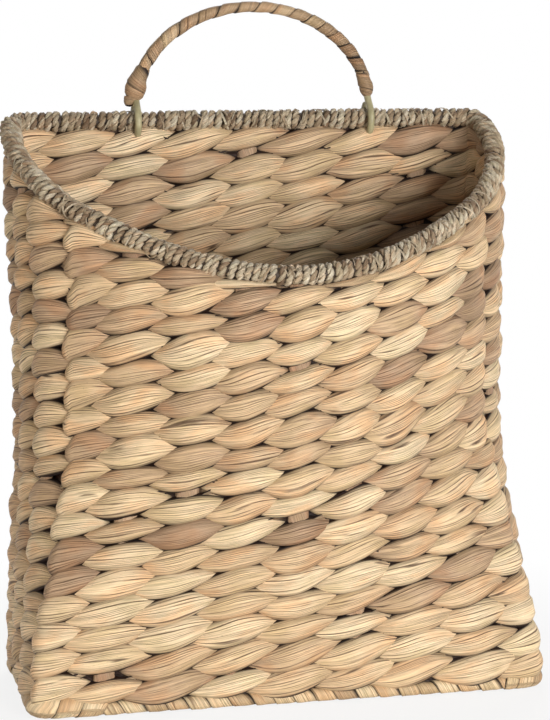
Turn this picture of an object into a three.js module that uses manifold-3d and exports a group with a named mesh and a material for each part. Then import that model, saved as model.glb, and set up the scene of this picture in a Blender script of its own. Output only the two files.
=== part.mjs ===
// Hanging wall basket: a wire frame twined with flat plant leaves, a rim bound with cord,
// a bound base edge and a bail handle that swings on the back of the rim.
// Millimetres, +Z up, front towards -Y, wall towards +Y.

import * as THREE from 'three';
import { mergeVertices } from 'three/addons/utils/BufferGeometryUtils.js';
import Module from 'manifold-3d';

// Wire frame, measured between wire centres
const WIRE_RADIUS = 2.25;
const BASE_WIDTH = 312;
const BASE_DEPTH = 125;
const WAIST_WIDTH = 289;
const RIM_WIDTH = 301;
const FRONT_POST_SPAN = 249;
const FRONT_POST_DEPTH = 93;
const FRONT_BOW = 53;
const SIDE_BOW = 13;
const RIM_HEIGHT = 349.5;
const RIM_DIP = 87;
const RIM_DIP_POWER = 1.22;
const FLARE_HEIGHT = 186;
const SPREAD_HEIGHT = 150;

// Bindings, measured to their flats
const RIM_BINDING_RADIUS = 6.2;
const RIM_BINDING_RETURN = 14;
const BASE_BINDING_RADIUS = 4.3;

// Twined wall
const SIDE_STITCHES = 4;
const FRONT_STITCHES = 8;
const COURSES = 21;
const FRONT_SAG = 9;
const STRAND = 3.9;
const NECK_BULGE = 2.6;
const NECK_LENGTH = 3.2;
const STITCH_SLANT = 4;
const SHORTEST_COURSE = 5;
const STAKE_THICKNESS = 3.4;
const STAKE_WIDTH = 8;
const FLOOR_COURSES = 7;
const FLOOR_COURSE_HEIGHT = 9;

// Handle
const HANDLE_SPAN = 151.4;
const HANDLE_OFFSET = 4;
const HANDLE_SPRING = 10.5;
const HANDLE_RISE = 61;
const HANDLE_TURNS = 18;
const STRIP_THICKNESS = 0.9;
const STRIP_GAP = 0.7;
const LEG_RISE = 3;
const KNOT_LENGTH = 20;
const KNOT_RADIUS = 6.4;
const EYE_END_ANGLE = 25;
const EYE_LEAVE_ANGLE = 52;

// Clearances
const FIT_GAP = 0.3;
const COURSE_GAP = 0.4;
const STAKE_CLEARANCE = 0.35;
const POST_CLEARANCE = 0.7;
const RIM_CLEARANCE = 0.8;
const EYE_CLEARANCE = 0.8;

// Facets
const WIRE_SIDES = 6;
const BINDING_SIDES = 8;
const ARCH_STEPS = 26;
const EYE_STEPS = 14;
const TURN_STEPS = 8;

// Values that follow from the sizes above
const RING = 2 * (SIDE_STITCHES + FRONT_STITCHES);
const SPAN_STITCHES = [SIDE_STITCHES, FRONT_STITCHES, SIDE_STITCHES, FRONT_STITCHES];
const SPAN_START = [0, SIDE_STITCHES, SIDE_STITCHES + FRONT_STITCHES, RING - FRONT_STITCHES];
const BACK_START = SPAN_START[3];
const RIM_DEPTH = FRONT_POST_DEPTH + FRONT_BOW;
const BINDING_CORNER = 1 / Math.cos(Math.PI / BINDING_SIDES);
const STAKE_FLOOR = 2 * BASE_BINDING_RADIUS + FIT_GAP + STAKE_THICKNESS / 2;
const WALL_FOOT = STAKE_FLOOR + STAKE_THICKNESS / 2 + FIT_GAP;
const EYE_RADIUS = RIM_BINDING_RADIUS * BINDING_CORNER + EYE_CLEARANCE + WIRE_RADIUS;
const WALL_HEAD = RIM_HEIGHT - EYE_RADIUS - WIRE_RADIUS - EYE_CLEARANCE;
const COURSE_PITCH = (WALL_HEAD - WALL_FOOT) / COURSES;
const UP = new THREE.Vector3(0, 0, 1);

const LEAF = { color: 0xc4a57c, roughness: 0.75, metalness: 0 };
const STAKE = { color: 0xb5977a, roughness: 0.85, metalness: 0 };
const CORD = { color: 0x8f8470, roughness: 0.85, metalness: 0 };
const EDGE = { color: 0xc0a27c, roughness: 0.75, metalness: 0 };
const PAINTED_WIRE = { color: 0x8d8763, roughness: 0.5, metalness: 0.3 };
const STRIP = { color: 0xb08c60, roughness: 0.7, metalness: 0 };

const wasm = await Module();
wasm.setup();

const basket = new THREE.Group();
const handle = new THREE.Group();

function addMesh(group, name, geometry, finish) {
  const mesh = new THREE.Mesh(geometry, new THREE.MeshStandardMaterial(finish));
  mesh.name = name;
  group.add(mesh);
}

// Vertices and faces of one closed body, gathered piece by piece
class Shell {
  constructor() {
    this.positions = [];
    this.faces = [];
  }

  point(p) {
    this.positions.push(p.x, p.y, p.z);
    return this.positions.length / 3 - 1;
  }

  ring(points) {
    return points.map((p) => this.point(p));
  }

  face(a, b, c) {
    this.faces.push(a, b, c);
  }

  quad(a, b, c, d) {
    this.face(a, b, c);
    this.face(a, c, d);
  }

  // Faces between two rings that run the same way round, the second further along
  band(first, second) {
    first.forEach((a, i) => {
      const next = (i + 1) % first.length;
      this.quad(a, first[next], second[next], second[i]);
    });
  }

  // Flat end that looks along the ring's own turning direction
  cap(ring) {
    for (let i = 1; i < ring.length - 1; i += 1) {
      this.face(ring[0], ring[i], ring[i + 1]);
    }
  }

  geometry() {
    const geometry = new THREE.BufferGeometry();
    geometry.setAttribute('position', new THREE.Float32BufferAttribute(this.positions, 3));
    geometry.setIndex(this.faces);
    geometry.computeVertexNormals();
    return geometry;
  }
}

// Regular section with its flats at `radius`, as [across, along the reference] pairs
function flatSection(radius) {
  const corner = radius * BINDING_CORNER;
  return Array.from({ length: BINDING_SIDES }, (_, i) => {
    const angle = ((i + 0.5) * 2 * Math.PI) / BINDING_SIDES;
    return [corner * Math.cos(angle), corner * Math.sin(angle)];
  });
}

function roundSection(radius) {
  return Array.from({ length: WIRE_SIDES }, (_, i) => {
    const angle = (i * 2 * Math.PI) / WIRE_SIDES;
    return [radius * Math.cos(angle), radius * Math.sin(angle)];
  });
}

function stakeSection() {
  const half = STAKE_THICKNESS / 2;
  const side = STAKE_WIDTH / 2;
  return [[half, 0], [0, side], [-half, 0], [0, -side]];
}

// Rings of a section along a path. Each ring lies in its bend's mitre plane, and `reference`
// is the bend's axis: one vector, a vector for each point, or a start vector to carry along.
function sweepRings(path, sections, reference, closed, carried = false) {
  const count = path.length;
  let ref = Array.isArray(reference) ? reference[0] : reference;
  return path.map((p, i) => {
    const before = path[closed ? (i + count - 1) % count : Math.max(i - 1, 0)];
    const after = path[closed ? (i + 1) % count : Math.min(i + 1, count - 1)];
    const arriving = p.clone().sub(before).normalize();
    const leaving = after.clone().sub(p).normalize();
    const tangent = arriving.clone().add(leaving).normalize();
    const wanted = Array.isArray(reference) ? reference[i] : ref;
    const axis = wanted.clone().addScaledVector(tangent, -wanted.dot(tangent)).normalize();
    if (carried) {
      ref = axis;
    }
    const across = new THREE.Vector3().crossVectors(axis, tangent);
    const turn = before === p || after === p ? 1 : Math.max(tangent.dot(leaving), 0.5);
    const section = typeof sections === 'function' ? sections(i) : sections;
    return section.map(([a, b]) => p.clone()
      .addScaledVector(across, a / turn)
      .addScaledVector(axis, b));
  });
}

// Solid bar through rings. Rings turn with the right hand about the direction of travel.
function barGeometry(rings, closed) {
  const shell = new Shell();
  const loops = rings.map((ring) => shell.ring(ring));
  for (let i = 0; i < loops.length - 1; i += 1) {
    shell.band(loops[i], loops[i + 1]);
  }
  if (closed) {
    shell.band(loops[loops.length - 1], loops[0]);
  } else {
    shell.cap([...loops[0]].reverse());
    shell.cap(loops[loops.length - 1]);
  }
  return shell.geometry();
}

// Bored bar, open at both ends
function sleeveGeometry(outerRings, innerRings) {
  const shell = new Shell();
  const outer = outerRings.map((ring) => shell.ring(ring));
  const inner = innerRings.map((ring) => shell.ring(ring));
  const last = outer.length - 1;
  for (let i = 0; i < last; i += 1) {
    shell.band(outer[i], outer[i + 1]);
    shell.band(inner[i + 1], inner[i]);
  }
  shell.band(inner[0], outer[0]);
  shell.band(outer[last], inner[last]);
  return shell.geometry();
}

function toManifold(geometry) {
  const bare = new THREE.BufferGeometry();
  bare.setAttribute('position', geometry.getAttribute('position'));
  bare.setIndex(geometry.getIndex());
  const merged = mergeVertices(bare);
  return new wasm.Manifold(new wasm.Mesh({
    numProp: 3,
    vertProperties: new Float32Array(merged.getAttribute('position').array),
    triVerts: new Uint32Array(merged.getIndex().array),
  }));
}

function cutAway(geometry, cutters) {
  const solid = cutters.reduce((left, cutter) => left.subtract(toManifold(cutter)), toManifold(geometry));
  const mesh = solid.getMesh();
  const cut = new THREE.BufferGeometry();
  cut.setAttribute('position', new THREE.Float32BufferAttribute(mesh.vertProperties, 3));
  cut.setIndex(Array.from(mesh.triVerts));
  cut.computeVertexNormals();
  return cut;
}

function smooth(t) {
  return THREE.MathUtils.smoothstep(t, 0, 1);
}

function mix(a, b, t) {
  return a + (b - a) * t;
}

// The wall. A place on it is a stitch number, counted from the back left post round the left
// side, the front, the right side and the back, and a height.

function planAt(z) {
  const flare = smooth(z / FLARE_HEIGHT);
  const spread = smooth(1 - (RIM_HEIGHT - z) / SPREAD_HEIGHT);
  const headWidth = mix(WAIST_WIDTH, RIM_WIDTH, spread);
  const backHalf = mix(BASE_WIDTH, headWidth, flare) / 2;
  const frontHalf = mix(BASE_WIDTH, FRONT_POST_SPAN, flare) / 2;
  const frontY = -mix(BASE_DEPTH, FRONT_POST_DEPTH, flare);
  return {
    corners: [
      new THREE.Vector2(-backHalf, 0),
      new THREE.Vector2(-frontHalf, frontY),
      new THREE.Vector2(frontHalf, frontY),
      new THREE.Vector2(backHalf, 0),
    ],
    bows: [SIDE_BOW * flare, FRONT_BOW * flare, SIDE_BOW * flare, 0],
  };
}

function outwards(direction) {
  return new THREE.Vector2(direction.y, -direction.x).normalize();
}

function onSpan(plan, span, t) {
  const start = plan.corners[span];
  const along = plan.corners[(span + 1) % 4].clone().sub(start);
  const out = outwards(along);
  const bow = 4 * plan.bows[span];
  const place = start.clone().addScaledVector(along, t).addScaledVector(out, bow * t * (1 - t));
  const heading = along.clone().addScaledVector(out, bow * (1 - 2 * t));
  return { place, normal: outwards(heading) };
}

function wrapStitch(stitch) {
  return ((stitch % RING) + RING) % RING;
}

function onWall(stitch, z) {
  const s = wrapStitch(stitch);
  const plan = planAt(z);
  const span = SPAN_START.findLastIndex((start) => start <= s);
  const t = (s - SPAN_START[span]) / SPAN_STITCHES[span];
  const found = onSpan(plan, span, t);
  if (t === 0) {
    found.normal.add(onSpan(plan, (span + 3) % 4, 1).normal).normalize();
  }
  return found;
}

function wallPoint(stitch, z, out = 0) {
  const { place, normal } = onWall(stitch, z);
  return new THREE.Vector3(place.x + normal.x * out, place.y + normal.y * out, z);
}

// Horizontal direction along the wall
function wallHeading(stitch, z) {
  const { normal } = onWall(stitch, z);
  return new THREE.Vector3(-normal.y, normal.x, 0);
}

function isPost(stitch) {
  return SPAN_START.includes(wrapStitch(stitch));
}

function isBack(stitch) {
  return wrapStitch(stitch) > BACK_START;
}

// The rim dips from the back corners to the middle of the front
function rimPoint(stitch) {
  const depth = Math.max(-wallPoint(stitch, RIM_HEIGHT).y, 0);
  const height = RIM_HEIGHT - RIM_DIP * (depth / RIM_DEPTH) ** RIM_DIP_POWER;
  return wallPoint(stitch, height);
}

// Height under the rim at which a piece of half width `half` keeps `room` from the rim's centre
function underRim(stitch, room, half) {
  const reach = 0.25;
  const ahead = rimPoint(stitch + reach);
  const behind = rimPoint(stitch - reach);
  const slope = (ahead.z - behind.z) / Math.hypot(ahead.x - behind.x, ahead.y - behind.y);
  return rimPoint(stitch).z - room * Math.hypot(1, slope) - half * Math.abs(slope);
}

// Lower edge of a course. The courses sag a little across the front.
function courseLine(course, stitch) {
  const level = WALL_FOOT + course * COURSE_PITCH;
  const turn = Math.min(wrapStitch(stitch) / BACK_START, 1);
  const sag = FRONT_SAG * smooth(level / RIM_HEIGHT) * Math.sin(Math.PI * turn) ** 2;
  return level - sag;
}

function wallTop(stitch) {
  const room = RIM_BINDING_RADIUS * BINDING_CORNER + RIM_CLEARANCE;
  return isBack(stitch) ? WALL_HEAD : underRim(stitch, room, 0);
}

function courseTop(course, stitch) {
  return Math.min(courseLine(course + 1, stitch) - COURSE_GAP, wallTop(stitch));
}

function courseReaches(course, stitch) {
  return courseTop(course, stitch) - courseLine(course, stitch) >= SHORTEST_COURSE;
}

// Distance from a stake's centre at which a window's straight wall to the neck at `to` starts,
// so that the wall keeps `room` from that centre
function windowReach(centre, normal, to, room) {
  const way = to.clone().sub(centre);
  const across = normal.cross(way);
  const a = across * across - room * room;
  const b = room * room * normal.dot(way);
  return (-b + Math.sqrt(b * b + a * room * room * way.lengthSq())) / a;
}

// Course of twining: two strands that change places between the stakes. The strands meet in a
// neck at each crossing, and leave a window for each stake.
class CourseShell extends Shell {
  constructor(course) {
    super();
    this.course = course;
  }

  low(stitch) {
    return courseLine(this.course, stitch);
  }

  high(stitch) {
    return courseTop(this.course, stitch);
  }

  wall(stitch, z, out = 0) {
    return this.point(wallPoint(stitch, z, out));
  }

  // Stitch numbers of a neck's top and of its two lower corners
  neckPlaces(stitch) {
    const middle = (this.low(stitch) + this.high(stitch)) / 2;
    const pitch = wallPoint(stitch + 0.5, middle).distanceTo(wallPoint(stitch - 0.5, middle));
    const slant = STITCH_SLANT / pitch;
    const half = NECK_LENGTH / 2 / pitch;
    return { top: stitch + slant, lowLeft: stitch - slant - half, lowRight: stitch - slant + half, half };
  }

  neck(stitch) {
    const places = this.neckPlaces(stitch);
    const middle = (this.low(stitch) + this.high(stitch)) / 2;
    return {
      outer: this.wall(stitch, middle, NECK_BULGE),
      inner: this.wall(stitch, middle, -NECK_BULGE),
      top: this.wall(places.top, this.high(places.top)),
      lowLeft: this.wall(places.lowLeft, this.low(places.lowLeft)),
      lowRight: this.wall(places.lowRight, this.low(places.lowRight)),
    };
  }

  // Neck at the end of an open course, with the points of its end face
  endNeck(stitch, direction) {
    const places = this.neckPlaces(stitch);
    const endTop = places.top + 2 * direction * places.half;
    return { ...this.neck(stitch), endTop: this.wall(endTop, this.high(endTop)) };
  }

  stake(stitch) {
    const room = isPost(stitch) ? WIRE_RADIUS + POST_CLEARANCE : STAKE_THICKNESS / 2 + STAKE_CLEARANCE;
    const left = this.neckPlaces(stitch - 0.5);
    const right = this.neckPlaces(stitch + 0.5);
    const reach = (z, places, side) => {
      const { place, normal } = onWall(stitch, z);
      const facing = normal.clone().multiplyScalar(side);
      return Math.max(...places.map((s) => windowReach(place, facing, onWall(s, z).place, room)));
    };
    const high = this.high(stitch);
    const low = this.low(stitch);
    const middle = (high + low) / 2;
    const tops = [left.top, right.top];
    const lows = [left.lowRight, right.lowLeft];
    const ridge = (side) => Math.max(reach(high, tops, side), reach(low, lows, side)) + STRAND;
    return {
      outer: this.wall(stitch, middle, ridge(1)),
      outerTop: this.wall(stitch, high, reach(high, tops, 1)),
      outerLow: this.wall(stitch, low, reach(low, lows, 1)),
      inner: this.wall(stitch, middle, -ridge(-1)),
      innerTop: this.wall(stitch, high, -reach(high, tops, -1)),
      innerLow: this.wall(stitch, low, -reach(low, lows, -1)),
    };
  }

  // The window round a stake, between the necks on its left and right
  window(left, stake, right) {
    this.quad(stake.outerLow, left.lowRight, left.top, stake.outerTop);
    this.quad(right.lowLeft, stake.outerLow, stake.outerTop, right.top);
    this.quad(left.lowRight, stake.innerLow, stake.innerTop, left.top);
    this.quad(stake.innerLow, right.lowLeft, right.top, stake.innerTop);
  }

  // Outer face from a stake to the neck on its right
  outerToNeck(stake, neck) {
    this.quad(stake.outer, neck.outer, neck.top, stake.outerTop);
    this.quad(stake.outer, stake.outerLow, neck.lowLeft, neck.outer);
    this.face(neck.outer, neck.lowLeft, neck.lowRight);
  }

  // Outer face from a neck to the stake on its right
  outerToStake(neck, stake) {
    this.quad(neck.outer, stake.outer, stake.outerTop, neck.top);
    this.quad(neck.outer, neck.lowRight, stake.outerLow, stake.outer);
  }

  // Inner face from a stake to the neck on its right
  innerToNeck(stake, neck) {
    this.quad(stake.inner, stake.innerTop, neck.top, neck.inner);
    this.quad(stake.inner, neck.inner, neck.lowLeft, stake.innerLow);
    this.face(neck.inner, neck.lowRight, neck.lowLeft);
  }

  // Inner face from a neck to the stake on its right
  innerToStake(neck, stake) {
    this.quad(neck.inner, neck.top, stake.innerTop, stake.inner);
    this.quad(neck.inner, stake.inner, stake.innerLow, neck.lowRight);
  }

  startEnd(neck, stake) {
    this.face(neck.outer, neck.top, neck.endTop);
    this.face(neck.outer, neck.lowLeft, neck.lowRight);
    this.outerToStake(neck, stake);
    this.face(stake.inner, neck.inner, neck.endTop);
    this.face(stake.inner, neck.endTop, neck.top);
    this.face(stake.inner, neck.top, stake.innerTop);
    this.face(stake.inner, stake.innerLow, neck.lowRight);
    this.face(stake.inner, neck.lowRight, neck.lowLeft);
    this.face(stake.inner, neck.lowLeft, neck.inner);
    this.quad(neck.outer, neck.endTop, neck.inner, neck.lowLeft);
  }

  finishEnd(stake, neck) {
    this.outerToNeck(stake, neck);
    this.face(neck.outer, neck.endTop, neck.top);
    this.face(stake.inner, stake.innerTop, neck.top);
    this.face(stake.inner, neck.top, neck.endTop);
    this.face(stake.inner, neck.endTop, neck.inner);
    this.face(stake.inner, neck.inner, neck.lowRight);
    this.face(stake.inner, neck.lowRight, neck.lowLeft);
    this.face(stake.inner, neck.lowLeft, stake.innerLow);
    this.quad(neck.outer, neck.lowRight, neck.inner, neck.endTop);
  }
}

// Course all the way round
function closedCourse(course) {
  const shell = new CourseShell(course);
  const stitches = Array.from({ length: RING }, (_, i) => i);
  const stakes = stitches.map((i) => shell.stake(i));
  const necks = stitches.map((i) => shell.neck(i + 0.5));
  stitches.forEach((i) => {
    const next = (i + 1) % RING;
    shell.outerToNeck(stakes[i], necks[i]);
    shell.outerToStake(necks[i], stakes[next]);
    shell.innerToNeck(stakes[i], necks[i]);
    shell.innerToStake(necks[i], stakes[next]);
    shell.window(necks[i], stakes[next], necks[next]);
  });
  return shell.geometry();
}

// Course that runs out under the dipping rim, from the right of the front round the back
function openCourse(course) {
  const front = SIDE_STITCHES + FRONT_STITCHES / 2;
  let first = front + 0.5;
  while (!courseReaches(course, first)) {
    first += 1;
  }
  let last = front + RING - 0.5;
  while (!courseReaches(course, last)) {
    last -= 1;
  }
  const shell = new CourseShell(course);
  const count = Math.round(last - first);
  const stakes = Array.from({ length: count }, (_, i) => shell.stake(first + 0.5 + i));
  const necks = Array.from({ length: count - 1 }, (_, i) => shell.neck(first + 1 + i));
  const start = shell.endNeck(first, -1);
  const end = shell.endNeck(last, 1);
  shell.startEnd(start, stakes[0]);
  necks.forEach((neck, i) => {
    shell.outerToNeck(stakes[i], neck);
    shell.outerToStake(neck, stakes[i + 1]);
    shell.innerToNeck(stakes[i], neck);
    shell.innerToStake(neck, stakes[i + 1]);
  });
  shell.finishEnd(stakes[count - 1], end);
  stakes.forEach((stake, i) => {
    shell.window(i === 0 ? start : necks[i - 1], stake, i === count - 1 ? end : necks[i]);
  });
  return shell.geometry();
}

function addCourses() {
  const halves = Array.from({ length: 2 * RING }, (_, i) => i / 2);
  for (let course = 0; course < COURSES; course += 1) {
    const whole = halves.every((stitch) => courseReaches(course, stitch));
    const name = `course_${String(course + 1).padStart(2, '0')}`;
    addMesh(basket, name, whole ? closedCourse(course) : openCourse(course), LEAF);
  }
}

// Heights of the course lines that an upright at a stitch passes, between a foot and a head:
// every one in the flare, every other one above it, and every fourth on the flat back
function uprightHeights(stitch, foot, head) {
  const heights = [foot];
  for (let course = 1; course < COURSES; course += 1) {
    const z = courseLine(course, stitch);
    const above = z < FLARE_HEIGHT ? 1 : 2;
    const stride = isBack(stitch) ? 4 : above;
    if (course % stride === 0 && z < head - COURSE_PITCH / 2) {
      heights.push(z);
    }
  }
  heights.push(head);
  return heights;
}

// Top of a stake: just under the rim's binding, or clear of the handle's eyes at the back
function stakeHead(stitch) {
  if (isBack(stitch)) {
    return WALL_HEAD;
  }
  return underRim(stitch, RIM_BINDING_RADIUS * BINDING_CORNER + FIT_GAP, STAKE_WIDTH / 2);
}

// Stake that goes down the front, across the floor and up the back
function throughStake(index) {
  const frontStitch = SIDE_STITCHES + index;
  const backStitch = RING - index;
  const down = uprightHeights(frontStitch, STAKE_FLOOR, stakeHead(frontStitch)).reverse();
  const up = uprightHeights(backStitch, STAKE_FLOOR, stakeHead(backStitch));
  const path = [
    ...down.map((z) => wallPoint(frontStitch, z)),
    ...up.map((z) => wallPoint(backStitch, z)),
  ];
  const headings = [
    ...down.map((z) => wallHeading(frontStitch, z)),
    ...up.map((z) => wallHeading(backStitch, z).negate()),
  ];
  return barGeometry(sweepRings(path, stakeSection(), headings, false), false);
}

function sideStake(stitch) {
  const heights = uprightHeights(stitch, 2 * BASE_BINDING_RADIUS + FIT_GAP, stakeHead(stitch));
  const path = heights.map((z) => wallPoint(stitch, z));
  const headings = heights.map((z) => wallHeading(stitch, z));
  return barGeometry(sweepRings(path, stakeSection(), headings, false), false);
}

function addStakes() {
  for (let i = 1; i < FRONT_STITCHES; i += 1) {
    addMesh(basket, `floor_stake_${i}`, throughStake(i), STAKE);
  }
  for (let i = 1; i < SIDE_STITCHES; i += 1) {
    addMesh(basket, `left_stake_${i}`, sideStake(i), STAKE);
    addMesh(basket, `right_stake_${i}`, sideStake(BACK_START - i), STAKE);
  }
}

// Corner post from the base wire to the rim wire, or the hole that takes it
function postGeometry(stitch, radius, extra) {
  const foot = BASE_BINDING_RADIUS + WIRE_RADIUS + FIT_GAP - extra;
  const head = underRim(stitch, WIRE_RADIUS + FIT_GAP, WIRE_RADIUS) + extra;
  const heights = uprightHeights(stitch, foot, head);
  const path = heights.map((z) => wallPoint(stitch, z));
  const headings = heights.map((z) => wallHeading(stitch, z));
  return barGeometry(sweepRings(path, roundSection(radius), headings, false), false);
}

function addPosts() {
  const names = ['back_left', 'front_left', 'front_right', 'back_right'];
  names.forEach((name, i) => {
    addMesh(basket, `corner_post_${name}`, postGeometry(SPAN_START[i], WIRE_RADIUS, 0), PAINTED_WIRE);
  });
  return SPAN_START.map((s) => postGeometry(s, WIRE_RADIUS + FIT_GAP, 2 * FIT_GAP));
}

// Rings moved along a direction, to part two bindings at their mitre
function shifted(ring, direction, distance) {
  return ring.map((p) => p.clone().addScaledVector(direction, distance));
}

// Round the front of the rim, with a short return on to the back at each end
function rimPath() {
  const front = Array.from({ length: 2 * BACK_START + 1 }, (_, i) => rimPoint(i / 2));
  const inwards = new THREE.Vector3(RIM_BINDING_RETURN, 0, 0);
  const start = front[0].clone().add(inwards);
  const end = front[front.length - 1].clone().sub(inwards);
  return [start, ...front, end];
}

function addRim(postHoles) {
  const path = rimPath();
  const wire = sweepRings(path, roundSection(WIRE_RADIUS), UP, true);
  addMesh(basket, 'rim_wire', barGeometry(wire, true), PAINTED_WIRE);
  const outer = sweepRings(path, flatSection(RIM_BINDING_RADIUS), UP, true);
  const inner = sweepRings(path, flatSection(WIRE_RADIUS + FIT_GAP), UP, true);
  const front = sleeveGeometry(outer, inner);
  addMesh(basket, 'rim_binding_front', cutAway(front, postHoles), CORD);
  const last = path.length - 1;
  const along = path[0].clone().sub(path[last]).normalize();
  const backRings = (rings) => [
    shifted(rings[last], along, COURSE_GAP),
    shifted(rings[0], along, -COURSE_GAP),
  ];
  addMesh(basket, 'rim_binding_back', sleeveGeometry(backRings(outer), backRings(inner)), CORD);
}

function addBase(postHoles) {
  const corners = planAt(0).corners.map((c) => new THREE.Vector3(c.x, c.y, BASE_BINDING_RADIUS));
  const wire = sweepRings(corners, roundSection(WIRE_RADIUS), UP, true);
  addMesh(basket, 'base_wire', barGeometry(wire, true), PAINTED_WIRE);
  const outer = sweepRings(corners, flatSection(BASE_BINDING_RADIUS), UP, true);
  const inner = sweepRings(corners, flatSection(WIRE_RADIUS + FIT_GAP), UP, true);
  ['left', 'front', 'right', 'back'].forEach((name, i) => {
    const next = (i + 1) % 4;
    const along = corners[next].clone().sub(corners[i]).normalize();
    const ends = (rings) => [
      shifted(rings[i], along, COURSE_GAP),
      shifted(rings[next], along, -COURSE_GAP),
    ];
    const sleeve = sleeveGeometry(ends(outer), ends(inner));
    addMesh(basket, `base_binding_${name}`, cutAway(sleeve, postHoles), EDGE);
  });
}

// Floor courses lie across the floor stakes, inside the foot of the wall
function addFloor() {
  const bulge = STAKE_THICKNESS / 2 + STAKE_CLEARANCE + STRAND + 2 * COURSE_GAP;
  const pitch = (BASE_DEPTH - 2 * bulge) / FLOOR_COURSES;
  const reach = BASE_WIDTH / 2 - bulge - RIM_CLEARANCE;
  const half = (pitch - COURSE_GAP) / 2;
  const slope = half / 2;
  const top = FLOOR_COURSE_HEIGHT / 2;
  const section = [[half, 0], [slope, top], [-slope, top], [-half, 0], [-slope, -top], [slope, -top]];
  for (let i = 0; i < FLOOR_COURSES; i += 1) {
    const y = -bulge - (i + 0.5) * pitch;
    const z = WALL_FOOT + top;
    const path = [new THREE.Vector3(-reach, y, z), new THREE.Vector3(reach, y, z)];
    addMesh(basket, `floor_course_${i + 1}`, barGeometry(sweepRings(path, section, UP, false), false), LEAF);
  }
}

// The handle's arch is half an ellipse that springs above the rim. Its own frame has the rim's
// centre line as the X axis.
const arch = new THREE.EllipseCurve(0, HANDLE_SPRING, HANDLE_SPAN / 2, HANDLE_RISE, Math.PI, 0, true);
const archLength = arch.getLength();

function archPoint(distance) {
  const p = arch.getPointAt(THREE.MathUtils.clamp(distance / archLength, 0, 1));
  return new THREE.Vector3(p.x, 0, p.y);
}

function archOutward(distance) {
  const t = arch.getTangentAt(THREE.MathUtils.clamp(distance / archLength, 0, 1));
  return new THREE.Vector3(-t.y, 0, t.x);
}

// Eye round the rim, from its end behind the leg, under the rim and up the front to the leg
function eyePoints(x) {
  const end = THREE.MathUtils.degToRad(EYE_END_ANGLE);
  const leave = THREE.MathUtils.degToRad(EYE_LEAVE_ANGLE);
  const sweep = 2 * Math.PI - end - leave;
  return Array.from({ length: EYE_STEPS + 1 }, (_, i) => {
    const angle = end + (sweep * i) / EYE_STEPS;
    return new THREE.Vector3(x, EYE_RADIUS * Math.sin(angle), EYE_RADIUS * Math.cos(angle));
  });
}

function handlePath() {
  const leftEye = eyePoints(-HANDLE_SPAN / 2);
  const rightEye = eyePoints(HANDLE_SPAN / 2).reverse();
  const middle = Array.from({ length: ARCH_STEPS + 1 }, (_, i) => {
    return archPoint(mix(LEG_RISE, archLength - LEG_RISE, i / ARCH_STEPS));
  });
  return [...leftEye, ...middle, ...rightEye];
}

function knotGeometry(start, end) {
  const steps = 6;
  const slim = WIRE_RADIUS + FIT_GAP + 2 * STRIP_THICKNESS;
  const path = Array.from({ length: steps + 1 }, (_, i) => archPoint(mix(start, end, i / steps)));
  const swell = (i) => flatSection(mix(slim, KNOT_RADIUS, Math.sin((Math.PI * i) / steps)));
  const side = new THREE.Vector3(0, 1, 0);
  const outer = sweepRings(path, swell, side, false);
  const inner = sweepRings(path, flatSection(WIRE_RADIUS + FIT_GAP), side, false);
  return sleeveGeometry(outer, inner);
}

// Strip wound round the arch between the two knots, as one unbroken flat tube
function stripRings(start, end) {
  const pitch = (end - start) / (HANDLE_TURNS + 1);
  const half = (pitch - STRIP_GAP) / 2;
  const inside = (WIRE_RADIUS + FIT_GAP) / Math.cos(Math.PI / TURN_STEPS);
  const outside = inside + STRIP_THICKNESS;
  return Array.from({ length: HANDLE_TURNS * TURN_STEPS + 1 }, (_, i) => {
    const turns = i / TURN_STEPS;
    const angle = 2 * Math.PI * turns;
    const centre = start + (turns + 0.5) * pitch;
    const at = (distance, radius) => archPoint(distance)
      .addScaledVector(archOutward(distance), radius * Math.cos(angle))
      .add(new THREE.Vector3(0, radius * Math.sin(angle), 0));
    return [
      at(centre - half, inside),
      at(centre - half, outside),
      at(centre + half, outside),
      at(centre + half, inside),
    ];
  });
}

// Least distance between points of the strip that lie more than half a turn apart
function leastGap(rings) {
  let least = Infinity;
  rings.forEach((ring, i) => {
    rings.slice(i + TURN_STEPS / 2 + 1).forEach((other) => {
      ring.forEach((p) => other.forEach((q) => {
        least = Math.min(least, p.distanceTo(q));
      }));
    });
  });
  return least;
}

function addHandle() {
  const path = handlePath();
  const start = new THREE.Vector3(1, 0, 0);
  const wire = sweepRings(path, roundSection(WIRE_RADIUS), start, false, true);
  addMesh(handle, 'handle_wire', barGeometry(wire, false), PAINTED_WIRE);
  const knotStart = LEG_RISE + WIRE_RADIUS;
  const knotEnd = knotStart + KNOT_LENGTH;
  addMesh(handle, 'handle_knot_left', knotGeometry(knotStart, knotEnd), STRIP);
  addMesh(handle, 'handle_knot_right', knotGeometry(archLength - knotEnd, archLength - knotStart), STRIP);
  const strip = stripRings(knotEnd + COURSE_GAP, archLength - knotEnd - COURSE_GAP);
  console.log(`least gap between the turns of the handle wrap: ${leastGap(strip).toFixed(2)} mm`);
  addMesh(handle, 'handle_wrap', barGeometry(strip, false), STRIP);
  handle.position.set(HANDLE_OFFSET, 0, RIM_HEIGHT);
}

addCourses();
addStakes();
const postHoles = addPosts();
addRim(postHoles);
addBase(postHoles);
addFloor();
addHandle();

// The origin is under the middle of the whole part
const part = new THREE.Group();
part.add(basket, handle);
const box = new THREE.Box3().setFromObject(part);
const middle = box.getCenter(new THREE.Vector3());
part.position.set(-middle.x, -middle.y, -box.min.z);

export default part;
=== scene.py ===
"""Dressed model of the hanging wall basket: twined leaf courses, corded rim, bound base and bail handle."""
import math

import bpy
import numpy as np
from mathutils import Matrix, Vector


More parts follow.
